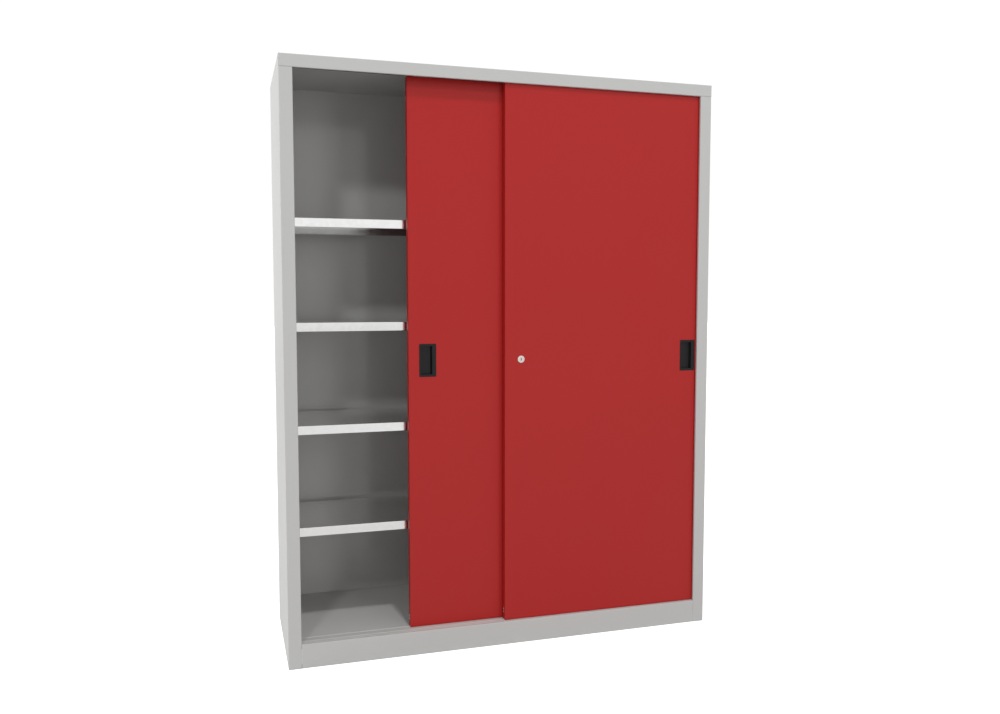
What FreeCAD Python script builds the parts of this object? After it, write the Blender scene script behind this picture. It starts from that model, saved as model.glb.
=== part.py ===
import FreeCAD, Part
import math
import os

from FreeCAD import Vector

os.makedirs("parts", exist_ok=True)

# Sliding door cabinet of folded sheet steel, in millimetres.
# +X runs to the right along the front, +Y from the front to the back, +Z up.
# The origin is on the floor, at the middle of the cabinet's width and depth.
# At rest the door in the front track is closed, at the right.
# The door in the rear track stands partly open.

# ---------------------------------------------------------------- driving dimensions

# Overall size
cabinet_width = 1500.0
cabinet_depth = 500.0               # stile face to the rivet heads on the back
cabinet_height = 1950.0

# Carcass of folded sheet
body_sheet = 1.0
body_bend = 2.0                     # outside radius of a fold
seam = 0.3                          # gap left between pieces fitted to each other
past = 1.0                          # a cutting block reaches this far past the faces that it cuts
stile_width = 42.0
stile_return = 8.0                  # lip folded back behind the inner edge of a stile
back_flange = 20.0
foot_flange = 20.0                  # flange along the foot of each side
fascia_height = 40.0
fascia_return = 8.0
top_side_flange = 15.0
floor_height = 80.0
floor_flange = 20.0
plinth_ledge = 12.0                 # depth of the plinth's top, in front of the floor panel
plinth_lip = 18.0
base_flange = 35.0                  # flanges that lie on the ground, front and back
rear_rail_height = 60.0
back_lap = 20.0                     # overlap of the back panels on the rear rail
standing_flange = 12.0              # seam between the two back panels
seam_rivet_depth = 6.6              # from the inside of the back to the rivets of that seam

# Rivets
rivet_radius = 2.0
rivet_head_radius = 3.6
rivet_head_height = 1.3
rivet_head_rounding = 1.0
rivet_tail_radius = 2.9
rivet_tail_height = 1.5
rivet_bore_clearance = 0.05
back_rivets_per_edge = 6
back_rivets_per_row = 4
rivet_edge_distance = 60.0          # first and last rivet from the end of a row

# Slotted uprights
upright_width = 30.0
upright_depth = 9.0                 # from the side panel to the slotted face
upright_sheet = 1.0
upright_bend = 1.5
upright_inset = 20.0                # from the front or back edge of the shelves
upright_top_gap = 25.0
slot_pitch = 33.93
slot_width = 14.0
slot_height = 4.5
first_slot = 21.6                   # lower edge of the first slot above the floor panel
top_slot_margin = 20.0

# Shelves and their clips
shelf_sheet = 1.0
shelf_bend = 1.6
shelf_lip = 29.5
shelf_rim = 10.0
shelf_door_gap = 19.0               # rear door to the front edge of the shelves
shelf_back_gap = 17.4               # shelves to the standing seam of the back
shelf_end_gap = 1.5
lowest_shelf_height = 358.5         # its top above the floor panel, to the nearest slot
slots_between_shelves = 10
shelf_count = 4
shelf_stiffener_width = 40.0
shelf_stiffener_depth = 12.0
shelf_stiffener_flange = 10.0
shelf_stiffener_end_gap = 8.0
clip_sheet = 2.0
clip_width = 12.0
clip_hook = 8.0
clip_shoulder = 10.0
clip_nose = 5.0
clip_nose_gap = 2.5                 # between the shelf's rim and the nose of the clip
clip_fit = 0.3
clip_rounding = 0.3

# Doors
door_sheet = 1.0
door_bend = 2.5
door_thickness = 28.0
door_setback = 12.0                 # stile face to the front door's face
door_spacing = 3.0                  # between the two doors
door_end_gap = 9.0                  # closed door to the side panel
door_overlap = 33.0                 # of the two closed doors
door_floor_gap = 0.5
door_top_cover = 8.0                # height of door hidden behind the fascia
door_rim = 18.0                     # rim round the open back of a door
rear_door_opening = 397.5           # how far the rear door stands open at rest
door_stiffeners = 2
door_stiffener_web = 30.0
door_stiffener_depth = 20.0
door_stiffener_flange = 12.0
door_stiffener_bend = 2.0
door_stiffener_end_gap = 7.0

# Running gear
rail_width = 4.0
rail_height = 1.2
rail_rounding = 1.0
rail_clearance = 0.3                # wheel tread above the rail
wheel_tread_radius = 12.0
wheel_flange_floor_gap = 0.6        # wheel flanges to the floor panel
wheel_width = 10.0
wheel_groove_clearance = 0.5
wheel_groove_slope = 0.5
wheel_rim_thickness = 3.0           # under the tread
wheel_hub_radius = 5.0
wheel_hub_width = 13.4
wheel_dish = 1.5
wheel_from_door_edge = 34.0
axle_radius = 2.5
axle_clearance = 0.05
axle_end = 1.0
bracket_sheet = 1.5
bracket_bend = 2.5
bracket_inner_width = 14.0
bracket_length = 52.0
bracket_height = 40.0
bracket_floor_gap = 2.5
bracket_rivet_edge = 4.8            # upper rivet to the top of the bracket
bracket_rivet_spacing = 10.4
running_slot_width = 14.0
running_slot_height = 4.0
track_width = 16.0
track_sheet = 1.0
track_bend = 2.0
track_drop = 27.0
guide_clearance = 0.5
guide_length = 40.0
guide_base_width = 20.0
guide_base_height = 2.4
guide_height = 20.0
guide_from_door_edge = 50.0
guide_screw_spacing = 22.0
guide_screw_radius = 2.0
guide_screw_head_radius = 3.8
guide_screw_head_height = 2.4
guide_screw_length = 10.0
guide_screw_rounding = 1.0
screw_clearance = 0.05
buffer_radius = 8.0
buffer_gap = 0.3
buffer_rounding = 1.5
buffer_from_floor = 170.0
buffer_from_top = 200.0

# Recessed handles
handle_width = 58.0
handle_height = 110.5
handle_proud = 1.2
handle_corner = 3.0
handle_edge_rounding = 0.5
handle_middle_height = 989.0
handle_from_door_edge = 36.0
cup_wall = 1.6
cup_depth = 12.0
cup_near_rim = 6.0                  # rim on the steep side of the cup
cup_far_rim = 12.0                  # rim on the sloping side of the cup
cup_slope = 6.2                     # run of the sloping side
cup_end_rim = 8.0
cup_bend = 4.6
cup_fit = 0.4

# Lock
lock_height = 988.0
lock_from_door_edge = 57.7
lock_face_radius = 12.25
lock_face_height = 2.5
lock_face_rounding = 1.2
barrel_radius = 9.5
barrel_fit = 0.2
barrel_inside_door = 6.5            # end of the barrel to the door's open back
nut_across_flats = 24.0
nut_height = 4.0
nut_rounding = 0.8
nut_clearance = 0.05
plug_radius = 7.0
plug_head_radius = 8.4
plug_head_height = 1.8
plug_recess = 0.4
plug_clearance = 0.05
plug_end_gap = 0.3
key_slot_width = 2.6
key_slot_height = 9.5
key_slot_depth = 12.0
tang_size = 7.0
tang_clearance = 0.1
cam_sheet = 2.0
cam_gap = 0.3
cam_hub_radius = 8.0
cam_arm = 45.0
cam_arm_width = 12.0
cam_hook = 30.0                     # reach of the hooked end, from the lock's axis
cam_hook_width = 14.0
cam_screw_radius = 2.0
cam_screw_head_radius = 5.0
cam_screw_head_height = 1.4
cam_screw_rounding = 0.6
cam_screw_length = 7.0
cam_screw_hole_spare = 1.0
stop_gap = 1.0                      # locked cam to the stop on the rear door
stop_pass = 4.0                     # the stop passes this far below the unlocked cam
stop_nose = 2.0
stop_foot = 26.0
stop_foot_sheet = 1.4
stop_height = 13.0
stop_reach = 6.0                    # of the stop's nose into the open back of the front door
notch_clearance = 2.0               # round the stop's nose, where the front door's end passes it

# ---------------------------------------------------------------- derived places

left = -cabinet_width / 2
right = cabinet_width / 2
front = -cabinet_depth / 2
back = cabinet_depth / 2
rear_face = back - rivet_head_height
inner_half = right - body_sheet
top_under = cabinet_height - body_sheet
fascia_bottom = cabinet_height - fascia_height

back_outside = rear_face - body_sheet - seam
back_inside = back_outside - body_sheet

door_width = (2 * inner_half - 2 * door_end_gap + door_overlap) / 2
door_bottom = floor_height + door_floor_gap
door_top = fascia_bottom + door_top_cover
front_door_face = front + door_setback
rear_door_face = front_door_face + door_thickness + door_spacing
closed_right_edge = inner_half - door_end_gap
front_door_left = closed_right_edge - door_width
rear_door_closed_left = -closed_right_edge
rear_door_left = rear_door_closed_left + rear_door_opening

shelf_front = rear_door_face + door_thickness + shelf_door_gap
shelf_back = back_inside - standing_flange - shelf_back_gap
web_face = inner_half - upright_depth
shelf_half = web_face - shelf_end_gap

wheel_height = floor_height + rail_height + rail_clearance + wheel_tread_radius
wheel_flange_radius = wheel_height - floor_height - wheel_flange_floor_gap
skin_of_front_door = front_door_face + door_sheet

AXES = {"x": Vector(1, 0, 0), "y": Vector(0, 1, 0), "z": Vector(0, 0, 1)}


# ---------------------------------------------------------------- shapes used again and again

def span_box(x, y, z):
    """A block between two corners, given as a pair of values for each axis."""
    size = [max(pair) - min(pair) for pair in (x, y, z)]
    return Part.makeBox(*size, Vector(min(x), min(y), min(z)))


def rounded_box(x, y, z, radius):
    """A block with every edge rounded."""
    block = span_box(x, y, z)
    return block.makeFillet(radius, block.Edges)


def rod(radius, start, direction, length):
    """A round bar from a point along a direction."""
    return Part.makeCylinder(radius, length, start, direction)


def button(radius, height, start, direction, rounding):
    """A round disc whose far edge is rounded."""
    disc = rod(radius, start, direction, height)
    far = start + direction * height
    rims = [edge for edge in disc.Edges if (edge.CenterOfMass - far).Length < 0.01 * radius]
    return disc.makeFillet(rounding, rims)


def joined(*shapes):
    """Touching pieces as one solid with its flat faces merged."""
    return shapes[0].fuse(list(shapes[1:])).removeSplitter()


def without(shape, tools):
    """The shape with a list of others cut away."""
    return shape.cut(Part.makeCompound(tools))


def mirrored(shape):
    """The same piece for the other side of the cabinet."""
    return shape.mirror(Vector(0, 0, 0), AXES["x"])


def unit(vector):
    """The vector, one long."""
    return vector / math.hypot(vector.x, vector.y)


def corner_edges(points, radii, closed):
    """Straight runs between points of the XY plane, with an arc of its own radius at each corner."""
    count = len(points)
    starts = []
    ends = []
    middles = []
    for i, point in enumerate(points):
        if radii[i] < 1e-6 or (not closed and i in (0, count - 1)):
            starts.append(point)
            ends.append(point)
            middles.append(None)
            continue
        before = unit(points[i - 1] - point)
        after = unit(points[(i + 1) % count] - point)
        half = before.getAngle(after) / 2
        reach = radii[i] / math.tan(half)
        centre = point + unit(before + after) * (radii[i] / math.sin(half))
        starts.append(point + before * reach)
        ends.append(point + after * reach)
        middles.append(centre - unit(before + after) * radii[i])
    edges = []
    for i in range(count):
        if middles[i] is not None:
            edges.append(Part.Arc(starts[i], middles[i], ends[i]).toShape())
        if i < count - 1 or closed:
            edges.append(Part.LineSegment(ends[i], starts[(i + 1) % count]).toShape())
    return edges


def stand(face, axis, start, stop):
    """A face drawn in the XY plane, stood across an axis and drawn out along it.
    Across z its two values are x and y, across x they are y and z, and across y they are x and z."""
    if axis == "x":
        face.rotate(Vector(0, 0, 0), Vector(1, 1, 1), 120)
    if axis == "y":
        face.rotate(Vector(0, 0, 0), AXES["x"], 90)
    face.translate(AXES[axis] * start)
    return face.extrude(AXES[axis] * (stop - start))


def folded(path, axis, start, stop, sheet, bend):
    """Sheet folded along a path of its one face, with the metal to the left of the path."""
    points = [Vector(u, v, 0) for u, v in path]
    runs = [unit(b - a) for a, b in zip(points, points[1:])]
    normals = [Vector(-run.y, run.x, 0) for run in runs]
    beside = [points[0] + normals[0] * sheet]
    near_radii = [0.0]
    far_radii = [0.0]
    for i in range(1, len(points) - 1):
        mitre = (normals[i - 1] + normals[i]) / (1 + normals[i - 1].dot(normals[i]))
        beside.append(points[i] + mitre * sheet)
        turns_left = runs[i - 1].cross(runs[i]).z > 0
        near_radii.append(bend if turns_left else bend - sheet)
        far_radii.append(bend - sheet if turns_left else bend)
    beside.append(points[-1] + normals[-1] * sheet)
    near_radii.append(0.0)
    far_radii.append(0.0)
    outline = points + beside[::-1]
    face = Part.Face(Part.Wire(corner_edges(outline, near_radii + far_radii[::-1], True)))
    return stand(face, axis, start, stop)


def profile(path, axis, start, stop, radius=0.0):
    """A closed outline drawn out along an axis, with its corners rounded."""
    points = [Vector(u, v, 0) for u, v in path]
    face = Part.Face(Part.Wire(corner_edges(points, [radius] * len(points), True)))
    return stand(face, axis, start, stop)


def turned(outline, centre, axis):
    """A solid turned about an axis through a point, from an outline of (radius, place along the axis)."""
    points = [Vector(radius, 0, place) for radius, place in outline]
    points.append(points[0])
    solid = Part.Face(Part.makePolygon(points)).revolve(Vector(0, 0, 0), AXES["z"], 360)
    if axis == "y":
        solid.rotate(Vector(0, 0, 0), AXES["x"], -90)
    solid.translate(centre)
    return solid


def evenly(first, last, count):
    """Evenly spaced values from the first to the last."""
    return [first + (last - first) * i / (count - 1) for i in range(count)]


def rivet(point, outward, grip):
    """A blind rivet whose head lies on the face at the point, through sheets of that grip."""
    head = button(rivet_head_radius, rivet_head_height, point, outward, rivet_head_rounding)
    shank = rod(rivet_radius, point - outward * grip, outward, grip)
    tail_start = point - outward * (grip + rivet_tail_height)
    tail = rod(rivet_tail_radius, tail_start, outward, rivet_tail_height)
    return joined(head, shank, tail)


def rivet_bore(point, outward, grip):
    """The hole that a rivet needs through its sheets."""
    start = point - outward * (grip + rivet_tail_height / 2)
    return rod(rivet_radius + rivet_bore_clearance, start, outward, grip + rivet_tail_height)


def save(name, *shapes):
    """Writes one node, made of one or more closed solids."""
    solids = [solid for shape in shapes for solid in shape.Solids]
    for solid in solids:
        if not solid.isValid() or not solid.isClosed() or solid.Volume <= 0:
            raise ValueError(name + " has a solid that is not closed")
    shape = solids[0] if len(solids) == 1 else Part.makeCompound(solids)
    shape.exportStep("parts/" + name + ".step")
    print(name, len(solids), round(shape.Volume / 1000, 2), "cm3")


# ---------------------------------------------------------------- rivets of the back

def back_rivet_places():
    """Places, outward directions and grips of the rivets that hold the back panels."""
    grip = 2 * body_sheet + seam
    heights = evenly(rear_rail_height + rivet_edge_distance, cabinet_height - rivet_edge_distance,
                     back_rivets_per_edge)
    places = []
    for side in (-1, 1):
        for height in heights:
            places.append((Vector(side * (right - back_flange / 2), rear_face, height), AXES["y"], grip))
        for x in evenly(rivet_edge_distance, right - 2 * rivet_edge_distance, back_rivets_per_row):
            low = rear_rail_height - back_lap / 2
            high = cabinet_height - back_flange / 2
            places.append((Vector(side * x, rear_face, low), AXES["y"], grip))
            places.append((Vector(side * x, rear_face, high), AXES["y"], grip))
    seam_grip = 2 * body_sheet + seam
    for height in heights:
        place = Vector(seam_grip / 2, back_inside - seam_rivet_depth, height)
        places.append((place, AXES["x"], seam_grip))
    return places


back_rivets = back_rivet_places()
back_bores = [rivet_bore(*place) for place in back_rivets]


# ---------------------------------------------------------------- carcass

def left_side_panel():
    """Side, front stile and its lip, rear flange and foot flange, folded from one sheet."""
    path = [
        (left + back_flange, rear_face),
        (left, rear_face),
        (left, front),
        (left + stile_width, front),
        (left + stile_width, front + stile_return),
    ]
    side = folded(path, "z", 0, top_under - seam, body_sheet, body_bend)
    stile_top = fascia_bottom - seam
    behind_fascia = front + body_sheet + seam
    above_stile = (stile_top, cabinet_height)
    wide = (left - past, left + stile_width + past)
    fascia_notch = span_box(wide, (front - past, behind_fascia), above_stile)
    inside = (left + body_sheet + seam, left + stile_width + past)
    lip_notch = span_box(inside, (front - past, front + stile_return + past), above_stile)
    foot = span_box(
        (left + body_sheet / 2, left + foot_flange),
        (front + base_flange + seam, rear_face - base_flange - seam),
        (0, body_sheet),
    )
    return joined(without(side, [fascia_notch, lip_notch]), foot)


def top_panel():
    """Flat top with the fascia folded down in front, a rear flange, and side flanges inside the sides."""
    path = [
        (rear_face, cabinet_height - back_flange),
        (rear_face, cabinet_height),
        (front, cabinet_height),
        (front, fascia_bottom),
        (front + fascia_return, fascia_bottom),
    ]
    top = folded(path, "x", left, right, body_sheet, body_bend)
    cuts = []
    for side in (-1, 1):
        beyond = side * (right + past)
        rear_end = side * (right - back_flange - seam)
        lip_end = side * (inner_half - seam)
        behind = (rear_face - body_bend, rear_face + past)
        below_top = (0, top_under)
        cuts.append(span_box((rear_end, beyond), behind, below_top))
        lip = (front + body_sheet, front + fascia_return + past)
        cuts.append(span_box((lip_end, beyond), lip, below_top))
    flanges = []
    for side in (-1, 1):
        outer = side * (inner_half - seam)
        inner = side * (inner_half - seam - body_sheet)
        depth = (front + fascia_return + seam, back_inside - seam)
        height = (top_under - top_side_flange, top_under + body_sheet / 2)
        flanges.append(span_box((inner, outer), depth, height))
    return joined(without(top, cuts), *flanges)


def floor_panel():
    """Flat floor with flanges folded down all round."""
    start = front + plinth_ledge + seam
    stop = back_inside - seam
    path = [
        (stop, floor_height - floor_flange),
        (stop, floor_height),
        (start, floor_height),
        (start, floor_height - floor_flange),
    ]
    half = inner_half - seam
    plate = folded(path, "x", -half, half, body_sheet, body_bend)
    flanges = []
    for side in (-1, 1):
        across = (side * half, side * (half - body_sheet))
        depth = (start + body_bend, stop - body_bend)
        flanges.append(span_box(across, depth, (floor_height - floor_flange, floor_height - body_sheet / 2)))
    return joined(plate, *flanges)


def plinth():
    """Kick board between the stiles, with a ledge at its top and a flange on the ground."""
    path = [
        (front + plinth_ledge, floor_height - plinth_lip),
        (front + plinth_ledge, floor_height),
        (front, floor_height),
        (front, 0),
        (front + base_flange, 0),
    ]
    half = right - stile_width - seam
    return folded(path, "x", -half, half, body_sheet, body_bend)


def rear_rail():
    """Base rail at the back, with a flange on the ground."""
    path = [
        (rear_face - base_flange, 0),
        (rear_face, 0),
        (rear_face, rear_rail_height),
    ]
    half = right - back_flange - seam
    rail = folded(path, "x", -half, half, body_sheet, body_bend)
    return without(rail, back_bores)


def left_back_panel():
    """Half of the back, with a flange standing forward at the middle seam."""
    path = [
        (-seam / 2, back_inside - standing_flange),
        (-seam / 2, back_outside),
        (-inner_half + seam, back_outside),
    ]
    low = rear_rail_height - back_lap
    panel = folded(path, "z", low, top_under - seam, body_sheet, body_bend)
    notch = span_box(
        (-body_sheet - body_bend, 0),
        (back_inside - standing_flange - past, back_inside - 1e-3),
        (low - past, floor_height + seam),
    )
    return without(panel, [notch])


def save_carcass():
    """The welded and riveted body of the cabinet."""
    side = left_side_panel()
    save("left_side_panel", without(side, back_bores))
    save("right_side_panel", without(mirrored(side), back_bores))
    save("top_panel", without(top_panel(), back_bores))
    save("floor_panel", floor_panel())
    save("plinth", plinth())
    save("rear_base_rail", rear_rail())
    half_back = left_back_panel()
    save("left_back_panel", without(half_back, back_bores))
    save("right_back_panel", without(mirrored(half_back), back_bores))
    save("back_rivets", *[rivet(*place) for place in back_rivets])


# ---------------------------------------------------------------- shelving

def slot_bottoms():
    """Lower edges of the slots in every upright."""
    lowest = floor_height + first_slot
    highest = top_under - upright_top_gap - top_slot_margin
    count = int((highest - lowest) / slot_pitch) + 1
    return [lowest + slot_pitch * i for i in range(count)]


def upright_starts():
    """Front faces of the front and the rear upright."""
    return [shelf_front + upright_inset, shelf_back - upright_inset - upright_width]


def left_upright(start):
    """Slotted channel on the left side panel."""
    foot = -inner_half + seam
    path = [
        (foot, start),
        (-web_face, start),
        (-web_face, start + upright_width),
        (foot, start + upright_width),
    ]
    high = top_under - upright_top_gap
    channel = folded(path, "z", floor_height + seam, high, upright_sheet, upright_bend)
    middle = start + upright_width / 2
    across = (middle - slot_width / 2, middle + slot_width / 2)
    through = (-web_face - upright_sheet - past, -web_face + past)
    slots = [span_box(through, across, (z, z + slot_height)) for z in slot_bottoms()]
    return without(channel, slots)


def shelf_slot(number):
    """Lower edge of the slots that carry a shelf, counted from the lowest shelf, which is number 0."""
    lowest_carrier = lowest_shelf_height - shelf_lip - clip_sheet
    slots_below = round((lowest_carrier - first_slot) / slot_pitch)
    return slot_bottoms()[slots_below + slots_between_shelves * number]


def shelf_top(number):
    """Height of a shelf's top face."""
    return shelf_slot(number) + clip_sheet + shelf_lip


def shelf(number):
    """Galvanised shelf with a lip folded down on all four sides and a rim turned in below."""
    top = shelf_top(number)
    low = top - shelf_lip
    across = (-shelf_half, shelf_half)
    deep = (shelf_front, shelf_back)
    outer = rounded_box(across, deep, (low, top), shelf_bend)
    hollow = rounded_box(
        (-shelf_half + shelf_sheet, shelf_half - shelf_sheet),
        (shelf_front + shelf_sheet, shelf_back - shelf_sheet),
        (low + shelf_sheet, top - shelf_sheet),
        shelf_bend - shelf_sheet,
    )
    opening = span_box(
        (-shelf_half + shelf_rim, shelf_half - shelf_rim),
        (shelf_front + shelf_rim, shelf_back - shelf_rim),
        (low - past, low + shelf_sheet + past),
    )
    return without(outer, [hollow, opening])


def shelf_stiffener(number):
    """Channel welded under the middle of a shelf."""
    under = shelf_top(number) - shelf_sheet
    middle = (shelf_front + shelf_back) / 2
    web = shelf_stiffener_width / 2
    foot = web + shelf_stiffener_flange
    low = under - shelf_stiffener_depth + shelf_sheet
    path = [
        (middle + foot, under),
        (middle + web, under),
        (middle + web, low),
        (middle - web, low),
        (middle - web, under),
        (middle - foot, under),
    ]
    half = shelf_half - shelf_stiffener_end_gap
    return folded(path, "x", -half, half, shelf_sheet, shelf_bend)


def left_clip(number, start):
    """Clip that hooks into a slot of the left upright and carries the shelf's rim."""
    slot = shelf_slot(number)
    top = slot + clip_sheet
    behind = -web_face - upright_sheet - clip_fit
    ahead = -web_face + clip_fit
    nose = -shelf_half + shelf_rim + clip_nose_gap
    path = [
        (behind, slot),
        (behind, slot - clip_hook),
        (behind - clip_sheet, slot - clip_hook),
        (behind - clip_sheet, top),
        (nose, top),
        (nose, top + clip_nose),
        (nose + clip_sheet, top + clip_nose),
        (nose + clip_sheet, slot),
        (ahead + clip_sheet, slot),
        (ahead + clip_sheet, slot - clip_shoulder),
        (ahead, slot - clip_shoulder),
        (ahead, slot),
    ]
    middle = start + upright_width / 2
    return profile(path, "y", middle - clip_width / 2, middle + clip_width / 2, clip_rounding)


def save_shelving():
    """Uprights, shelves and what carries them."""
    for place, start in zip(("front", "rear"), upright_starts()):
        upright = left_upright(start)
        save("left_" + place + "_upright", upright)
        save("right_" + place + "_upright", mirrored(upright))
    for number in range(shelf_count):
        name = "shelf_" + str(number + 1)
        save(name, shelf(number))
        save(name + "_stiffener", shelf_stiffener(number))
        clips = [left_clip(number, start) for start in upright_starts()]
        save(name + "_clips", *clips, *[mirrored(clip) for clip in clips])


# ---------------------------------------------------------------- tracks, rails and buffers

def door_middle(face):
    """Middle of a door's thickness, where its rail and its track are."""
    return face + door_thickness / 2


def top_track(face):
    """Channel under the top, in which a door's guides run."""
    middle = door_middle(face)
    high = top_under - seam
    low = top_under - track_drop
    path = [
        (middle + track_width / 2, low),
        (middle + track_width / 2, high),
        (middle - track_width / 2, high),
        (middle - track_width / 2, low),
    ]
    half = inner_half - body_sheet - 2 * seam
    return folded(path, "x", -half, half, track_sheet, track_bend)


def bottom_rail(face):
    """Low strip with rounded edges on the floor panel, on which a door's wheels run."""
    middle = door_middle(face)
    half = inner_half - seam
    across = (middle - rail_width / 2, middle + rail_width / 2)
    bar = span_box((-half, half), across, (floor_height, floor_height + rail_height))
    high = floor_height + rail_height
    upper = [edge for edge in bar.Edges if abs(edge.CenterOfMass.z - high) < 1e-6]
    crown = [edge for edge in upper if edge.Length > rail_width + seam]
    return bar.makeFillet(rail_rounding, crown)


def left_buffers():
    """Rubber buffers on the left side panel, two for each door."""
    length = door_end_gap - buffer_gap
    places = []
    for face in (front_door_face, rear_door_face):
        for height in (floor_height + buffer_from_floor, cabinet_height - buffer_from_top):
            start = Vector(-inner_half, door_middle(face), height)
            places.append(button(buffer_radius, length, start, AXES["x"], buffer_rounding))
    return places


def save_running_surfaces():
    """What the doors run on, run in and stop against."""
    save("front_top_track", top_track(front_door_face))
    save("rear_top_track", top_track(rear_door_face))
    save("front_bottom_rail", bottom_rail(front_door_face))
    save("rear_bottom_rail", bottom_rail(rear_door_face))
    buffers = left_buffers()
    save("left_door_buffers", *buffers)
    save("right_door_buffers", *[mirrored(buffer) for buffer in buffers])


# ---------------------------------------------------------------- doors

def cup_path(x, face, grow):
    """Outline of the handle's cup, seen from above, larger all round by a wall where it is wanted."""
    floor = face + cup_depth + grow
    steep = x + cup_near_rim - grow
    far = x + handle_width - cup_far_rim
    mouth = face - handle_proud - past
    slope = cup_slope / cup_depth
    slanted = math.hypot(1, slope) * grow
    return [
        (steep, mouth),
        (steep, floor),
        (far - cup_slope + slanted - slope * grow, floor),
        (far + slanted + slope * (face - mouth), mouth),
    ]


def cup_heights(grow):
    """Lower and upper end of the cup."""
    half = handle_height / 2 - cup_end_rim + grow
    return handle_middle_height - half, handle_middle_height + half


def cup_solid(x, face, grow, radius):
    """The cup's space, or the block that it is hollowed from."""
    low, high = cup_heights(grow)
    return profile(cup_path(x, face, grow), "z", low, high, radius)


def handle(x, face):
    """Moulded handle: a flat rim on the door's skin and a finger cup behind it."""
    plate = span_box(
        (x, x + handle_width),
        (face - handle_proud, face),
        (handle_middle_height - handle_height / 2, handle_middle_height + handle_height / 2),
    )
    corners = [edge for edge in plate.Edges if abs(edge.tangentAt(edge.FirstParameter).y) > 0.9]
    plate = plate.makeFillet(handle_corner, corners)
    near = face - handle_proud
    brim = [edge for edge in plate.Edges if abs(edge.CenterOfMass.y - near) < 1e-6]
    plate = plate.makeFillet(handle_edge_rounding, brim)
    block = cup_solid(x, face, cup_wall, cup_bend)
    ahead = span_box((x, x + handle_width), (face - handle_width, face), (0, cabinet_height))
    block = block.cut(ahead)
    hollow = cup_solid(x, face, 0.0, cup_bend - cup_wall)
    return joined(plate, block).cut(hollow)


def handle_cutout(x, face):
    """Hole in the door's skin for the cup of the handle."""
    grow = cup_wall + cup_fit
    low, high = cup_heights(grow)
    path = cup_path(x, face, grow)
    across = (path[0][0], x + handle_width - cup_far_rim + grow + cup_fit)
    return span_box(across, (face - past, face + door_sheet + past), (low, high))


def door_pan(x, face):
    """Door folded from one sheet: skin, flanges on all four sides and a rim round the open back."""
    end = x + door_width
    rear = face + door_thickness
    outer = rounded_box((x, end), (face, rear), (door_bottom, door_top), door_bend)
    hollow = rounded_box(
        (x + door_sheet, end - door_sheet),
        (face + door_sheet, rear - door_sheet),
        (door_bottom + door_sheet, door_top - door_sheet),
        door_bend - door_sheet,
    )
    opening = span_box(
        (x + door_rim, end - door_rim),
        (rear - door_sheet - past, rear + past),
        (door_bottom + door_rim, door_top - door_rim),
    )
    middle = door_middle(face)
    running_slot = span_box(
        (x - past, end + past),
        (middle - running_slot_width / 2, middle + running_slot_width / 2),
        (door_bottom - past, door_bottom + running_slot_height),
    )
    return without(outer, [hollow, opening, running_slot])


def stiffeners(x, face):
    """Upright channels welded to the inside of the door's skin."""
    skin = face + door_sheet
    web = skin + door_stiffener_depth - door_sheet
    low = door_bottom + door_stiffener_end_gap
    high = door_top - door_stiffener_end_gap
    half = door_stiffener_web / 2
    channels = []
    for i in range(door_stiffeners):
        middle = x + door_width * (i + 1) / (door_stiffeners + 1)
        path = [
            (middle - half - door_stiffener_flange, skin),
            (middle - half, skin),
            (middle - half, web),
            (middle + half, web),
            (middle + half, skin),
            (middle + half + door_stiffener_flange, skin),
        ]
        channels.append(folded(path, "z", low, high, door_sheet, door_stiffener_bend))
    return channels


def door_sides(x):
    """The two ends of a door: the place of the edge, and the direction from it into the door."""
    return [(x, 1), (x + door_width, -1)]


def bracket_rivets(edge, inward, face):
    """Places of the rivets that hold a roller bracket to the door's end flange."""
    upper = door_bottom + bracket_floor_gap + bracket_height - bracket_rivet_edge
    outward = AXES["x"] * -inward
    grip = door_sheet + bracket_sheet
    heights = [upper - bracket_rivet_spacing, upper]
    return [(Vector(edge, door_middle(face), height), outward, grip) for height in heights]


def bracket_bores(x, face):
    """Holes for the rivets of both roller brackets."""
    bores = []
    for edge, inward in door_sides(x):
        for place in bracket_rivets(edge, inward, face):
            bores.append(rivet_bore(*place))
    return bores


def axle_places(x, face):
    """Centres of the two wheels of a door."""
    places = []
    for edge, inward in door_sides(x):
        places.append(Vector(edge + inward * wheel_from_door_edge, door_middle(face), wheel_height))
    return places


def roller_bracket(edge, inward, face, wheel):
    """U-shaped bracket inside the door's end flange, with an ear on each side of the wheel."""
    middle = door_middle(face)
    flange = edge + inward * door_sheet
    tip = flange + inward * bracket_length
    half = bracket_inner_width / 2 + bracket_sheet
    path = [
        (tip, middle - inward * half),
        (flange, middle - inward * half),
        (flange, middle + inward * half),
        (tip, middle + inward * half),
    ]
    low = door_bottom + bracket_floor_gap
    channel = folded(path[::-1], "z", low, low + bracket_height, bracket_sheet, bracket_bend)
    bore = rod(axle_radius + axle_clearance, wheel - AXES["y"] * 2 * half, AXES["y"], 4 * half)
    return channel.cut(bore)


def axle(wheel):
    """Pin through both ears of a bracket, with a rounded end past each."""
    half = bracket_inner_width / 2 + bracket_sheet + axle_end
    pin = rod(axle_radius, wheel - AXES["y"] * half, AXES["y"], 2 * half)
    rims = [edge for edge in pin.Edges if abs(edge.CenterOfMass.y - wheel.y) > half / 2]
    return pin.makeFillet(0.3 * axle_radius, rims)


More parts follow.
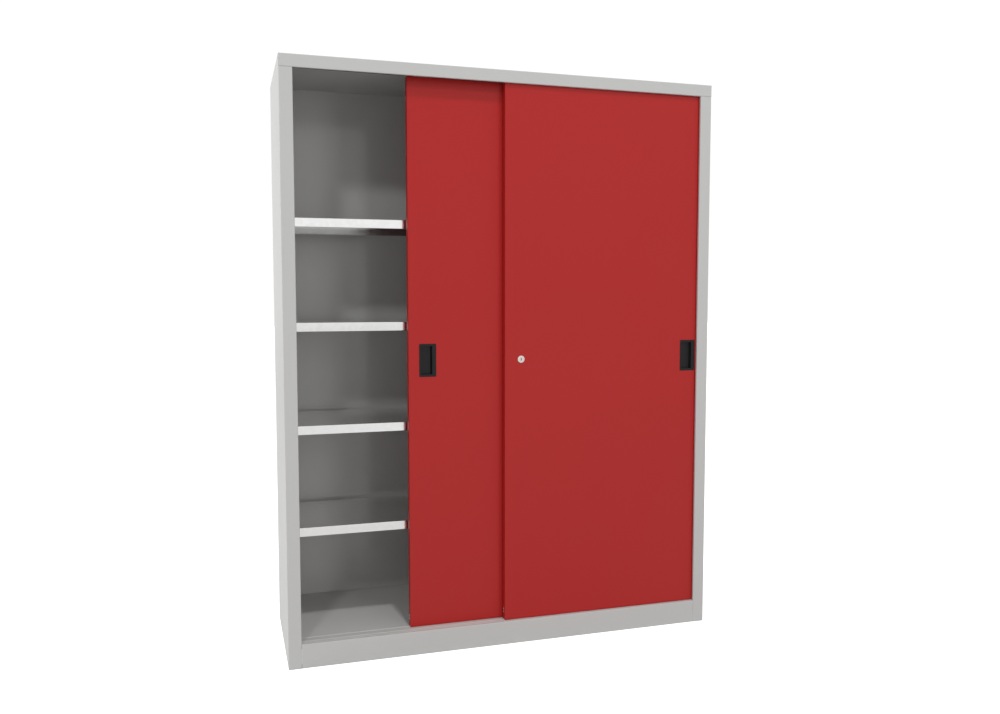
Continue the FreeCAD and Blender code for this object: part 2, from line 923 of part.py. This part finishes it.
def wheel(place):
    """Nylon wheel with a groove for the rail and a hub between the bracket's ears."""
    half = wheel_width / 2
    groove = rail_width / 2 + wheel_groove_clearance
    hub = wheel_hub_width / 2
    bore = axle_radius + axle_clearance
    dish = wheel_tread_radius - wheel_rim_thickness
    outline = [
        (bore, -hub),
        (wheel_hub_radius, -hub),
        (wheel_hub_radius, -half + wheel_dish),
        (dish, -half + wheel_dish),
        (dish, -half),
        (wheel_flange_radius, -half),
        (wheel_flange_radius, -groove - wheel_groove_slope),
        (wheel_tread_radius, -groove),
        (wheel_tread_radius, groove),
        (wheel_flange_radius, groove + wheel_groove_slope),
        (wheel_flange_radius, half),
        (dish, half),
        (dish, half - wheel_dish),
        (wheel_hub_radius, half - wheel_dish),
        (wheel_hub_radius, hub),
        (bore, hub),
    ]
    return turned(outline, place, "y")


def guide_middles(x):
    """Middles of the two top guides along a door."""
    return [edge + inward * guide_from_door_edge for edge, inward in door_sides(x)]


def guide_screw_places(x):
    """Places along a door of the screws that hold the top guides."""
    return [m + side * guide_screw_spacing / 2 for m in guide_middles(x) for side in (-1, 1)]


def guide_screw_bores(x, face, low, length):
    """Upright holes for the screws of the top guides."""
    radius = guide_screw_radius + screw_clearance
    y = door_middle(face)
    return [rod(radius, Vector(place, y, low), AXES["z"], length) for place in guide_screw_places(x)]


def top_guides(x, face):
    """Nylon guides on top of a door, with a tongue that runs in the top track."""
    y = door_middle(face)
    tongue = (track_width - 2 * track_sheet) / 2 - guide_clearance
    base = guide_base_width / 2
    guides = []
    for middle in guide_middles(x):
        along = (middle - guide_length / 2, middle + guide_length / 2)
        foot = span_box(along, (y - base, y + base), (door_top, door_top + guide_base_height))
        blade = span_box(along, (y - tongue, y + tongue), (door_top, door_top + guide_height))
        corners = [edge for edge in blade.Edges if abs(edge.tangentAt(edge.FirstParameter).z) > 0.9]
        blade = blade.makeFillet(0.9 * tongue, corners)
        guides.append(joined(foot, blade))
    bores = guide_screw_bores(x, face, door_top - past, guide_screw_length + past)
    return [without(guide, bores) for guide in guides]


def guide_screws(x, face):
    """Screws up through the door's top flange into the guides."""
    y = door_middle(face)
    under = door_top - door_sheet
    screws = []
    for place in guide_screw_places(x):
        start = Vector(place, y, under)
        head = button(guide_screw_head_radius, guide_screw_head_height, start, -AXES["z"],
                      guide_screw_rounding)
        shank = rod(guide_screw_radius, start, AXES["z"], guide_screw_length)
        screws.append(joined(head, shank))
    return screws


def save_door(name, x, face, handle_x, more_cuts):
    """One door with everything that is fixed to it."""
    bores = bracket_bores(x, face)
    guide_bores = guide_screw_bores(x, face, door_top - door_sheet - past, door_sheet + 2 * past)
    pan = without(door_pan(x, face), bores + guide_bores + [handle_cutout(handle_x, face)] + more_cuts)
    save(name + "_panel", pan)
    save(name + "_stiffeners", *stiffeners(x, face))
    save(name + "_handle", handle(handle_x, face))
    save(name + "_top_guides", *top_guides(x, face))
    save(name + "_guide_screws", *guide_screws(x, face))
    brackets = []
    rivets = []
    for (edge, inward), place in zip(door_sides(x), axle_places(x, face)):
        brackets.append(without(roller_bracket(edge, inward, face, place), bores))
        rivets += [rivet(*rivet_place) for rivet_place in bracket_rivets(edge, inward, face)]
    save(name + "_roller_brackets", *brackets)
    save(name + "_bracket_rivets", *rivets)
    save(name + "_axles", *[axle(place) for place in axle_places(x, face)])
    for side, place in zip(("left", "right"), axle_places(x, face)):
        save(name + "_" + side + "_wheel", wheel(place))


# ---------------------------------------------------------------- lock

lock_axis = Vector(front_door_left + lock_from_door_edge, front_door_face, lock_height)
lock_face = front_door_face - lock_face_height
barrel_end = front_door_face + door_thickness - barrel_inside_door
cam_front = barrel_end + cam_gap


def along_lock(y):
    """The point of the lock's axis at a depth."""
    return Vector(lock_axis.x, y, lock_axis.z)


def lock_bar(radius, start, stop):
    """A round bar on the lock's axis."""
    return rod(radius, along_lock(start), AXES["y"], stop - start)


def lock_block(half_width, half_height, start, stop):
    """A square-edged bar on the lock's axis."""
    return span_box(
        (lock_axis.x - half_width, lock_axis.x + half_width),
        (start, stop),
        (lock_axis.z - half_height, lock_axis.z + half_height),
    )


def lock_housing():
    """Round face and threaded barrel, bored for the plug."""
    face = button(lock_face_radius, lock_face_height, along_lock(front_door_face), -AXES["y"],
                  lock_face_rounding)
    barrel = lock_bar(barrel_radius, front_door_face, barrel_end)
    bore = lock_bar(plug_radius + plug_clearance, lock_face - past, barrel_end + past)
    seat_end = lock_face + plug_recess + plug_head_height + plug_end_gap
    seat = lock_bar(plug_head_radius + plug_clearance, lock_face - past, seat_end)
    return joined(face, barrel).cut(bore).cut(seat)


def lock_nut():
    """Hexagon nut that clamps the housing to the door's skin."""
    reach = nut_across_flats / math.sqrt(3)
    corners = [math.radians(60 * i + 30) for i in range(6)]
    path = [(lock_axis.x + reach * math.cos(a), lock_axis.z + reach * math.sin(a)) for a in corners]
    end = skin_of_front_door + nut_height
    nut = profile(path, "y", skin_of_front_door, end, nut_rounding)
    return nut.cut(lock_bar(barrel_radius + nut_clearance, skin_of_front_door - past, end + past))


def lock_plug():
    """Turning plug with the key slot in its head and a square tang for the cam."""
    head_start = lock_face + plug_recess
    head = lock_bar(plug_head_radius, head_start, head_start + plug_head_height)
    body = lock_bar(plug_radius, head_start, barrel_end)
    tang = lock_block(tang_size / 2, tang_size / 2, barrel_end, cam_front + cam_sheet)
    slot_end = head_start + key_slot_depth
    key_slot = lock_block(key_slot_width / 2, key_slot_height / 2, head_start - past, slot_end)
    end = cam_front + cam_sheet
    thread_start = end - cam_screw_length - cam_screw_hole_spare
    thread = lock_bar(cam_screw_radius + screw_clearance, thread_start, end + past)
    return joined(head, body, tang).cut(key_slot).cut(thread)


def lock_cam():
    """Hooked cam on the plug.
    Unlocked, its arm points right and its hook down. Locked, its arm points down and its hook left."""
    end = cam_front + cam_sheet
    hub = lock_bar(cam_hub_radius, cam_front, end)
    tip = lock_axis.x + cam_arm
    half_arm = cam_arm_width / 2
    arm = span_box((lock_axis.x, tip), (cam_front, end), (lock_axis.z - half_arm, lock_axis.z + half_arm))
    reach = (lock_axis.z - cam_hook, lock_axis.z + half_arm)
    hook = span_box((tip - cam_hook_width, tip), (cam_front, end), reach)
    half = tang_size / 2 + tang_clearance
    return joined(hub, arm, hook).cut(lock_block(half, half, cam_front - past, end + past))


def cam_screw():
    """Screw that holds the cam on the plug's tang."""
    end = cam_front + cam_sheet
    head = button(cam_screw_head_radius, cam_screw_head_height, along_lock(end), AXES["y"],
                  cam_screw_rounding)
    shank = lock_bar(cam_screw_radius, end - cam_screw_length, end)
    return joined(head, shank)


def stop_places():
    """Right face of the stop's nose and the middle of its height.
    The turning cam passes above and beside it."""
    nose = lock_axis.x - cam_hook - stop_gap
    height = lock_axis.z - cam_hook - stop_pass - stop_height / 2
    return nose + rear_door_opening, height


def stop_rivet_places():
    """Rivets through the stop's foot and the skin of the rear door."""
    nose, height = stop_places()
    foot_middle = nose - stop_nose - stop_foot / 2
    grip = stop_foot_sheet + door_sheet
    face = rear_door_face - stop_foot_sheet
    return [(Vector(foot_middle, face, height), -AXES["y"], grip)]


def stop_notch():
    """Notch in the right end and rim of the front door, through which the stop's nose passes."""
    end = front_door_left + door_width
    height = stop_places()[1]
    open_back = front_door_face + door_thickness
    half = stop_height / 2 + notch_clearance
    return span_box(
        (end - door_rim - past, end + past),
        (open_back - stop_reach - notch_clearance, open_back + past),
        (height - half, height + half),
    )


def lock_stop():
    """Angle on the face of the rear door, whose nose the locked cam catches inside the front door."""
    nose, height = stop_places()
    tall = (height - stop_height / 2, height + stop_height / 2)
    nose_front = front_door_face + door_thickness - stop_reach
    stand_up = span_box((nose - stop_nose, nose), (nose_front, rear_door_face), tall)
    along = (nose - stop_nose - stop_foot, nose)
    foot = span_box(along, (rear_door_face - stop_foot_sheet, rear_door_face), tall)
    return without(joined(stand_up, foot), [rivet_bore(*place) for place in stop_rivet_places()])


def save_lock():
    """Cylinder lock of the front door and the stop on the rear door."""
    save("lock_housing", lock_housing())
    save("lock_nut", lock_nut())
    save("lock_plug", lock_plug())
    save("lock_cam", lock_cam())
    save("lock_cam_screw", cam_screw())
    save("lock_stop", lock_stop())
    save("lock_stop_rivet", *[rivet(*place) for place in stop_rivet_places()])


# ---------------------------------------------------------------- the whole cabinet

save_carcass()
save_shelving()
save_running_surfaces()

lock_hole = lock_bar(barrel_radius + barrel_fit, front_door_face - past, skin_of_front_door + past)
front_handle_x = front_door_left + door_width - handle_from_door_edge - handle_width
save_door("front_door", front_door_left, front_door_face, front_handle_x, [lock_hole, stop_notch()])

rear_handle_x = rear_door_left + handle_from_door_edge
stop_bores = [rivet_bore(*place) for place in stop_rivet_places()]
save_door("rear_door", rear_door_left, rear_door_face, rear_handle_x, stop_bores)

save_lock()
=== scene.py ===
import math

import bpy
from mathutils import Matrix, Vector

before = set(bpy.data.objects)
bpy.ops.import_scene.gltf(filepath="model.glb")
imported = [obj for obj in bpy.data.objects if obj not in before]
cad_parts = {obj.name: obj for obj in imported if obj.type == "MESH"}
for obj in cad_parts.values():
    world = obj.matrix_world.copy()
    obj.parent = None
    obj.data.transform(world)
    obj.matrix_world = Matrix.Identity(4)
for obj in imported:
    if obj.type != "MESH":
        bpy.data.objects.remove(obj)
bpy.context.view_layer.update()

# ---------------------------------------------------------------- camera
# A normal lens a little above the middle of the cabinet, three metres in front of it.
# It stands to the left, so that the outside of the left side panel shows.

camera_place = (-0.9230, -3.1290, 1.2160)
camera_turn = -17.093                   # degrees from straight ahead, to the right
camera_tilt = -4.139                    # degrees from level
camera_lens = 32.195                    # mm
camera_sensor = 36.0                    # mm wide

camera = bpy.data.objects.new("camera", bpy.data.cameras.new("camera"))
camera.data.sensor_width = camera_sensor
camera.data.lens = camera_lens
camera.location = camera_place
camera.rotation_euler = (math.radians(90 + camera_tilt), 0, math.radians(camera_turn))
bpy.context.collection.objects.link(camera)
bpy.context.scene.camera = camera


# ---------------------------------------------------------------- carcass
# The body: sides, top, floor, plinth, base rail and two back panels of 1 mm steel, folded and spot welded,
# with slotted uprights in the corners and two low strips on the floor that the doors' wheels run on.
# It is powder coated light grey after welding, inside and out.

light_grey = "#cbcbc9"
rubbed_grey = "#e2e2e0"
folded_coat_roughness = 0.46
flat_coat_roughness = 0.15

peel_size = 0.003                       # crest to crest: really about 1 mm, drawn coarser so that it shows
peel_height = 0.00012
drift_size = 0.25                       # over which the film's thickness drifts
fold_reach = 0.0012                     # how far from a fold handling rubs the film
mark_length = 0.015                     # of the marks that handling leaves


def linear(hex_colour):
    """An sRGB hex colour as linear red, green, blue and alpha."""
    parts = [int(hex_colour[i:i + 2], 16) / 255 for i in (1, 3, 5)]
    return [p / 12.92 if p <= 0.04045 else ((p + 0.055) / 1.055) ** 2.4 for p in parts] + [1.0]


def add(tree, kind, inputs=None, **settings):
    """A shader node with its settings. Each input is a value, or the socket that feeds it."""
    made = tree.nodes.new(kind)
    for name, value in settings.items():
        setattr(made, name, value)
    for name, value in (inputs or {}).items():
        if isinstance(value, bpy.types.NodeSocket):
            tree.links.new(value, made.inputs[name])
        else:
            made.inputs[name].default_value = value
    return made


def new_material(name):
    """An empty material, its node tree and the principled shader that its output shows."""
    material = bpy.data.materials.new(name)
    material.use_nodes = True
    tree = material.node_tree
    tree.nodes.clear()
    shader = add(tree, "ShaderNodeBsdfPrincipled")
    add(tree, "ShaderNodeOutputMaterial", {"Surface": shader.outputs["BSDF"]})
    return material, tree, shader


def dress(material, *names):
    """Gives a material to nodes of the frame."""
    for name in names:
        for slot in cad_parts[name].material_slots:
            slot.material = material


def powder_coat(name, colour, worn, roughness):
    """Polyester powder coat, sprayed dry and baked: even and half glossy, with a fine orange peel.
    The film is thinner and a little lighter along the folds."""
    material, tree, shader = new_material(name)
    place = add(tree, "ShaderNodeTexCoord").outputs["Object"]

    peel = add(tree, "ShaderNodeTexNoise", {"Vector": place, "Scale": 1 / peel_size, "Detail": 1.0})
    bump = add(tree, "ShaderNodeBump",
               {"Height": peel.outputs["Fac"], "Strength": 0.35, "Distance": peel_height})

    # Where the film is thicker it is a little lighter and less glossy.
    drift = add(tree, "ShaderNodeTexNoise", {"Vector": place, "Scale": 1 / drift_size, "Detail": 2.0})
    shade = add(tree, "ShaderNodeMapRange",
                {"Value": drift.outputs["Fac"], "To Min": 0.985, "To Max": 1.015})
    gloss = add(tree, "ShaderNodeMapRange",
                {"Value": drift.outputs["Fac"], "To Min": roughness - 0.03, "To Max": roughness + 0.03})

    # Handling rubs the folds, where the normal turns, in broken marks.
    rounded = add(tree, "ShaderNodeBevel", {"Radius": fold_reach}, samples=4)
    flat = add(tree, "ShaderNodeNewGeometry").outputs["Normal"]
    turn = add(tree, "ShaderNodeVectorMath", {0: rounded.outputs["Normal"], 1: flat},
               operation="DOT_PRODUCT")
    edge = add(tree, "ShaderNodeMapRange",
               {"Value": turn.outputs["Value"], "From Min": 0.995, "From Max": 0.90})
    marks = add(tree, "ShaderNodeTexNoise", {"Vector": place, "Scale": 1 / mark_length, "Detail": 3.0})
    rubbed = add(tree, "ShaderNodeMapRange",
                 {"Value": marks.outputs["Fac"], "From Min": 0.48, "From Max": 0.62, "To Max": 0.5})
    wear = add(tree, "ShaderNodeMath", {0: edge.outputs["Result"], 1: rubbed.outputs["Result"]},
               operation="MULTIPLY")

    paint = add(tree, "ShaderNodeMix",
                {"Factor": wear.outputs["Value"], "A": linear(colour), "B": linear(worn)}, data_type="RGBA")
    tinted = add(tree, "ShaderNodeVectorMath",
                 {0: paint.outputs["Result"], "Scale": shade.outputs["Result"]}, operation="SCALE")
    tree.links.new(tinted.outputs["Vector"], shader.inputs["Base Color"])
    tree.links.new(gloss.outputs["Result"], shader.inputs["Roughness"])
    tree.links.new(bump.outputs["Normal"], shader.inputs["Normal"])
    return material


# The folded parts are an even satin grey, with soft light along their folds.
light_grey_coat = powder_coat("light_grey_powder_coat", light_grey, rubbed_grey, folded_coat_roughness)
dress(light_grey_coat, "left_side_panel", "right_side_panel", "top_panel", "floor_panel", "plinth",
      "rear_base_rail", "front_bottom_rail", "rear_bottom_rail")
dress(light_grey_coat, "left_front_upright", "right_front_upright", "left_rear_upright", "right_rear_upright")

# The back panels are sprayed lying flat, where the coat flows out smoother, so that they softly mirror what
# stands in front of them.
flat_grey_coat = powder_coat("light_grey_powder_coat_sprayed_flat", light_grey, rubbed_grey,
                             flat_coat_roughness)
dress(flat_grey_coat, "left_back_panel", "right_back_panel")


# ---------------------------------------------------------------- zinc-plated fittings
# Rivets, screws, axles, roller brackets, shelf clips, and the nut, cam and stop of the lock.
# They are headed, turned or pressed from mild steel, and are plated in barrels before they are fitted.

dull_zinc = "#b9bdc2"
bright_zinc = "#d8dadc"
patch_size = 0.006                      # of the dull marks from the barrel
patch_depth = 0.0001


def zinc_plate():
    """Bright zinc plate: a cool grey metal whose shine is uneven where parts knocked together."""
    material, tree, shader = new_material("bright_zinc_plate")
    place = add(tree, "ShaderNodeTexCoord").outputs["Object"]
    patches = add(tree, "ShaderNodeTexNoise", {"Vector": place, "Scale": 1 / patch_size, "Detail": 3.0})
    tone = add(tree, "ShaderNodeMix",
               {"Factor": patches.outputs["Fac"], "A": linear(dull_zinc), "B": linear(bright_zinc)},
               data_type="RGBA")
    gloss = add(tree, "ShaderNodeMapRange", {"Value": patches.outputs["Fac"], "To Min": 0.22, "To Max": 0.42})
    bump = add(tree, "ShaderNodeBump",
               {"Height": patches.outputs["Fac"], "Strength": 0.2, "Distance": patch_depth})
    shader.inputs["Metallic"].default_value = 1.0
    tree.links.new(tone.outputs["Result"], shader.inputs["Base Color"])
    tree.links.new(gloss.outputs["Result"], shader.inputs["Roughness"])
    tree.links.new(bump.outputs["Normal"], shader.inputs["Normal"])
    return material


zinc = zinc_plate()
dress(zinc, "back_rivets", "shelf_1_clips", "shelf_2_clips", "shelf_3_clips", "shelf_4_clips")
for door in ("front_door", "rear_door"):
    dress(zinc, door + "_guide_screws", door + "_roller_brackets", door + "_bracket_rivets", door + "_axles")
dress(zinc, "lock_nut", "lock_cam", "lock_cam_screw", "lock_stop", "lock_stop_rivet")


# ---------------------------------------------------------------- shelves and top tracks
# Shelf pans that lie on clips in the uprights, a stiffening channel under each, and the two channels that
# guide the doors' tops. They are folded from hot-dip galvanised coil and left bare, so that sliding boxes
# can't scrape paint off them.

pale_crystal = "#f6f6f5"
bright_crystal = "#fbfbfa"
crystal_size = 0.012
crystal_step = 0.00002                  # from one crystal down to the next


def galvanised():
    """Zinc skin of galvanised coil: nearly a mirror, with a faint spangle of crystals."""
    material, tree, shader = new_material("galvanised_spangle")
    place = add(tree, "ShaderNodeTexCoord").outputs["Object"]
    crystals = add(tree, "ShaderNodeTexVoronoi", {"Vector": place, "Scale": 1 / crystal_size})
    grain = add(tree, "ShaderNodeSeparateColor", {"Color": crystals.outputs["Color"]})
    tone = add(tree, "ShaderNodeMix",
               {"Factor": grain.outputs["Red"], "A": linear(pale_crystal), "B": linear(bright_crystal)},
               data_type="RGBA")
    gloss = add(tree, "ShaderNodeMapRange", {"Value": grain.outputs["Green"], "To Min": 0.10, "To Max": 0.16})
    bump = add(tree, "ShaderNodeBump",
               {"Height": grain.outputs["Blue"], "Strength": 0.1, "Distance": crystal_step})
    shader.inputs["Metallic"].default_value = 1.0
    tree.links.new(tone.outputs["Result"], shader.inputs["Base Color"])
    tree.links.new(gloss.outputs["Result"], shader.inputs["Roughness"])
    tree.links.new(bump.outputs["Normal"], shader.inputs["Normal"])
    return material


spangle = galvanised()
dress(spangle, "shelf_1", "shelf_2", "shelf_3", "shelf_4")
dress(spangle, "shelf_1_stiffener", "shelf_2_stiffener", "shelf_3_stiffener", "shelf_4_stiffener")
dress(spangle, "front_top_track", "rear_top_track")


# ---------------------------------------------------------------- doors
# Two pans folded from 1 mm steel, with upright channels spot welded to the inside of their skins.
# They are powder coated red after welding, inside and out.

door_red = "#b21d19"
rubbed_red = "#c8362f"

# The doors are a deep, even satin red that pales a little along the folds.
red_coat = powder_coat("red_powder_coat", door_red, rubbed_red, folded_coat_roughness)
dress(red_coat, "front_door_panel", "front_door_stiffeners", "rear_door_panel", "rear_door_stiffeners")


# ---------------------------------------------------------------- handles
# One-piece finger cups, one in each door, injection moulded in black ABS.
# Each is snapped into a cut-out of the door's skin, and its flat rim lies on the skin.

black = "#0f0d0e"
lighter_black = "#171415"
abs_roughness = 0.42
abs_grain = 0.0012                      # pit to pit of the eroded mould, drawn coarser so that it shows
abs_shine = 0.35
pit_depth = 0.0001


def moulded_plastic(name, dark, light, roughness, grain, shine):
    """Moulded plastic: soft shine over the fine eroded grain of its mould."""
    material, tree, shader = new_material(name)
    place = add(tree, "ShaderNodeTexCoord").outputs["Object"]
    pits = add(tree, "ShaderNodeTexNoise", {"Vector": place, "Scale": 1 / grain, "Detail": 2.0})
    bump = add(tree, "ShaderNodeBump",
               {"Height": pits.outputs["Fac"], "Strength": 0.4, "Distance": pit_depth})
    tone = add(tree, "ShaderNodeMix",
               {"Factor": pits.outputs["Fac"], "A": linear(dark), "B": linear(light)}, data_type="RGBA")
    gloss = add(tree, "ShaderNodeMapRange",
                {"Value": pits.outputs["Fac"], "To Min": roughness - 0.05, "To Max": roughness + 0.05})
    shader.inputs["Specular IOR Level"].default_value = shine
    tree.links.new(tone.outputs["Result"], shader.inputs["Base Color"])
    tree.links.new(gloss.outputs["Result"], shader.inputs["Roughness"])
    tree.links.new(bump.outputs["Normal"], shader.inputs["Normal"])
    return material


# Black ABS is dark and satin, so that little but its edges catches the light.
black_abs = moulded_plastic("black_moulded_abs", black, lighter_black, abs_roughness, abs_grain, abs_shine)
dress(black_abs, "front_door_handle", "rear_door_handle")


# ---------------------------------------------------------------- lock
# Cylinder lock: a turning plug with a key slot in a round housing, both die-cast in zinc and nickel plated.
# The housing sits in a hole of the front door's skin, and a nut behind the skin clamps it.

pale_nickel = "#fbf0e9"
bright_nickel = "#fff8f2"
painted_keyway_shade = "#4a4642"
speck_size = 0.002
keyway_half_width = 0.0015              # a little over the slot's own half width, to take in its walls
keyway_half_height = 0.0049
keyway_start = 0.0003                   # behind the plug's face


def front_of(name):
    """The middle of a node's front, in the node's own coordinates."""
    corners = [Vector(corner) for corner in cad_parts[name].bound_box]
    middle = sum(corners, Vector()) / len(corners)
    return middle.x, min(corner.y for corner in corners), middle.z


def nickel_plate():
    """Bright nickel plate: a warm mirror with faint specks.
    The inside of the key slot is coloured dark, as painted shade for the slot's depth."""
    material, tree, shader = new_material("bright_nickel_plate")
    place = add(tree, "ShaderNodeTexCoord").outputs["Object"]
    specks = add(tree, "ShaderNodeTexNoise", {"Vector": place, "Scale": 1 / speck_size, "Detail": 2.0})
    tone = add(tree, "ShaderNodeMix",
               {"Factor": specks.outputs["Fac"], "A": linear(pale_nickel), "B": linear(bright_nickel)},
               data_type="RGBA")
    gloss = add(tree, "ShaderNodeMapRange", {"Value": specks.outputs["Fac"], "To Min": 0.10, "To Max": 0.20})

    # The key slot is what lies near the plug's upright middle plane, behind its face.
    middle = add(tree, "ShaderNodeVectorMath", {0: place, 1: front_of("lock_plug")}, operation="SUBTRACT")
    apart = add(tree, "ShaderNodeSeparateXYZ", {"Vector": middle.outputs["Vector"]})
    beside = add(tree, "ShaderNodeMath", {0: apart.outputs["X"]}, operation="ABSOLUTE")
    above = add(tree, "ShaderNodeMath", {0: apart.outputs["Z"]}, operation="ABSOLUTE")
    narrow = add(tree, "ShaderNodeMath", {0: beside.outputs["Value"], 1: keyway_half_width},
                 operation="LESS_THAN")
    low = add(tree, "ShaderNodeMath", {0: above.outputs["Value"], 1: keyway_half_height},
              operation="LESS_THAN")
    deep = add(tree, "ShaderNodeMath", {0: apart.outputs["Y"], 1: keyway_start}, operation="GREATER_THAN")
    slot = add(tree, "ShaderNodeMath", {0: narrow.outputs["Value"], 1: low.outputs["Value"]},
               operation="MULTIPLY")
    inside = add(tree, "ShaderNodeMath", {0: slot.outputs["Value"], 1: deep.outputs["Value"]},
                 operation="MULTIPLY")
    # Inside the key slot the colour turns dark: painted shade for the slot's depth.
    colour = add(tree, "ShaderNodeMix",
                 {"Factor": inside.outputs["Value"], "A": tone.outputs["Result"], "B": linear(painted_keyway_shade)},
                 data_type="RGBA")
    shader.inputs["Metallic"].default_value = 1.0
    tree.links.new(colour.outputs["Result"], shader.inputs["Base Color"])
    tree.links.new(gloss.outputs["Result"], shader.inputs["Roughness"])
    return material


nickel = nickel_plate()
dress(nickel, "lock_housing", "lock_plug")


# ---------------------------------------------------------------- running gear and buffers
# Grooved wheels that turn in the doors' lower corners and guides that are screwed to the doors' tops, both of
# moulded nylon, and moulded rubber buffers, glued to the side panels where the doors stop.

nylon_white = "#dedbd2"
pale_nylon_white = "#ebe8e0"
nylon_roughness = 0.40
nylon_grain = 0.0015
nylon_shine = 0.5

rubber_black = "#131313"
pale_rubber_black = "#1e1e1e"
rubber_roughness = 0.75
rubber_grain = 0.0010
rubber_shine = 0.3

# Nylon is milky and a little waxy.
nylon = moulded_plastic("white_moulded_nylon", nylon_white, pale_nylon_white,
                        nylon_roughness, nylon_grain, nylon_shine)
for door in ("front_door", "rear_door"):
    dress(nylon, door + "_left_wheel", door + "_right_wheel", door + "_top_guides")

# Rubber is dull and swallows nearly all light.
rubber = moulded_plastic("black_moulded_rubber", rubber_black, pale_rubber_black,
                         rubber_roughness, rubber_grain, rubber_shine)
dress(rubber, "left_door_buffers", "right_door_buffers")


# ---------------------------------------------------------------- floor, backdrop and lights
# A white studio: even light all round, a lamp high up in front, a lamp far off at the front left, a tall
# light wall at the front right, and a large soft box that lights the left side panel.
# Floor and backdrop show as plain white.

white = (1.0, 1.0, 1.0, 1.0)
floor_reach = 30.0
floor_drop = 0.0002                     # below the cabinet's foot, so that no two faces coincide
floor_tone = (0.62, 0.62, 0.62, 1.0)    # what the floor throws back on the cabinet
near_floor = 4.0                        # distances over which the floor's painted glow, seen only in shiny steel, rises from its darkest to its lightest
far_floor = 25.0
# Strength of the floor's painted glow in shiny steel: low near the cabinet as painted shade, higher far off.
near_floor_painted_glow = 0.17
far_floor_painted_glow = 0.41

low = -floor_drop
floor_corners = [(-floor_reach, -floor_reach, low), (floor_reach, -floor_reach, low),
                 (floor_reach, floor_reach, low), (-floor_reach, floor_reach, low)]
floor_mesh = bpy.data.meshes.new("studio_floor")
floor_mesh.from_pydata(floor_corners, [], [(0, 1, 2, 3)])
floor = bpy.data.objects.new("studio_floor", floor_mesh)
bpy.context.collection.objects.link(floor)

# The camera sees the floor white. Shiny steel sees a painted grey glow on it, dimmed near the cabinet as
# painted shade that stands in for the cabinet's shadow on the floor.
floor_material = bpy.data.materials.new("pale_studio_floor")
floor_material.use_nodes = True
tree = floor_material.node_tree
tree.nodes.clear()
matt = add(tree, "ShaderNodeBsdfDiffuse", {"Color": floor_tone})
path = add(tree, "ShaderNodeLightPath")
place = add(tree, "ShaderNodeTexCoord").outputs["Object"]
distance = add(tree, "ShaderNodeVectorMath", {0: place}, operation="LENGTH")
level = add(tree, "ShaderNodeMapRange",
            {"Value": distance.outputs["Value"], "From Min": near_floor, "From Max": far_floor,
             "To Min": near_floor_painted_glow, "To Max": far_floor_painted_glow})
# The floor glows only for shiny steel: painted light, dimmed near the cabinet as painted shade.
mirrored = add(tree, "ShaderNodeMath", {0: path.outputs["Is Glossy Ray"], 1: level.outputs["Result"]},
               operation="MULTIPLY")
shown = add(tree, "ShaderNodeMath", {0: path.outputs["Is Camera Ray"], 1: mirrored.outputs["Value"]},
            operation="ADD")
glow = add(tree, "ShaderNodeEmission", {"Color": white, "Strength": shown.outputs["Value"]})
lit = add(tree, "ShaderNodeAddShader", {0: matt.outputs["BSDF"], 1: glow.outputs["Emission"]})
add(tree, "ShaderNodeOutputMaterial", {"Surface": lit.outputs["Shader"]})
floor_mesh.materials.append(floor_material)

# Walls and ceiling give even light. Shiny steel mirrors them brighter, and the camera sees them white.
studio_light = 0.43
mirrored_light = 0.90
backdrop_light = 1.02

world = bpy.data.worlds.new("studio")
bpy.context.scene.world = world
world.use_nodes = True
tree = world.node_tree
tree.nodes.clear()
path = add(tree, "ShaderNodeLightPath")
level = add(tree, "ShaderNodeMapRange",
            {"Value": path.outputs["Is Glossy Ray"], "To Min": studio_light, "To Max": mirrored_light})
sky = add(tree, "ShaderNodeBackground", {"Color": white, "Strength": level.outputs["Result"]})
backdrop = add(tree, "ShaderNodeBackground", {"Color": white, "Strength": backdrop_light})
seen = add(tree, "ShaderNodeMixShader",
           {0: path.outputs["Is Camera Ray"],
            1: sky.outputs["Background"],
            2: backdrop.outputs["Background"]})
add(tree, "ShaderNodeOutputWorld", {"Surface": seen.outputs["Shader"]})


def lamp(name, place, target, width, height, power):
    """A flat soft box at a place, turned to a target. Shiny parts don't mirror it."""
    light = bpy.data.lights.new(name, "AREA")
    light.shape = "RECTANGLE"
    light.size = width
    light.size_y = height
    light.energy = power
    made = bpy.data.objects.new(name, light)
    made.visible_glossy = False
    made.location = place
    heading = [t - p for t, p in zip(target, place)]
    flat = math.hypot(heading[0], heading[1])
    made.rotation_euler = (math.atan2(flat, -heading[2]), 0, math.atan2(heading[1], heading[0]) - math.pi / 2)
    bpy.context.collection.objects.link(made)


cabinet_middle = (0.0, 0.0, 1.0)

key_place = (0.10, -5.95, 9.83)
key_size = 0.8
key_power = 292.0                       # watts, as each power below
lamp("key_lamp", key_place, cabinet_middle, key_size, key_size, key_power)

front_left_place = (-4.0, -8.0, 6.75)
front_left_size = 0.8
front_left_power = 150.0
lamp("front_left_lamp", front_left_place, cabinet_middle, front_left_size, front_left_size, front_left_power)

light_wall_place = (2.48, -6.60, 1.90)
light_wall_target = (-0.35, -0.20, 1.90)
light_wall_width = 1.40
light_wall_height = 3.8
light_wall_power = 55.0
lamp("light_wall", light_wall_place, light_wall_target, light_wall_width, light_wall_height, light_wall_power)

left_place = (-5.5, 1.5, 1.8)
left_size = 2.0
left_power = 146.0
lamp("left_lamp", left_place, cabinet_middle, left_size, left_size, left_power)

# Plain tones, so that white stays white.
bpy.context.scene.view_settings.view_transform = "Standard"
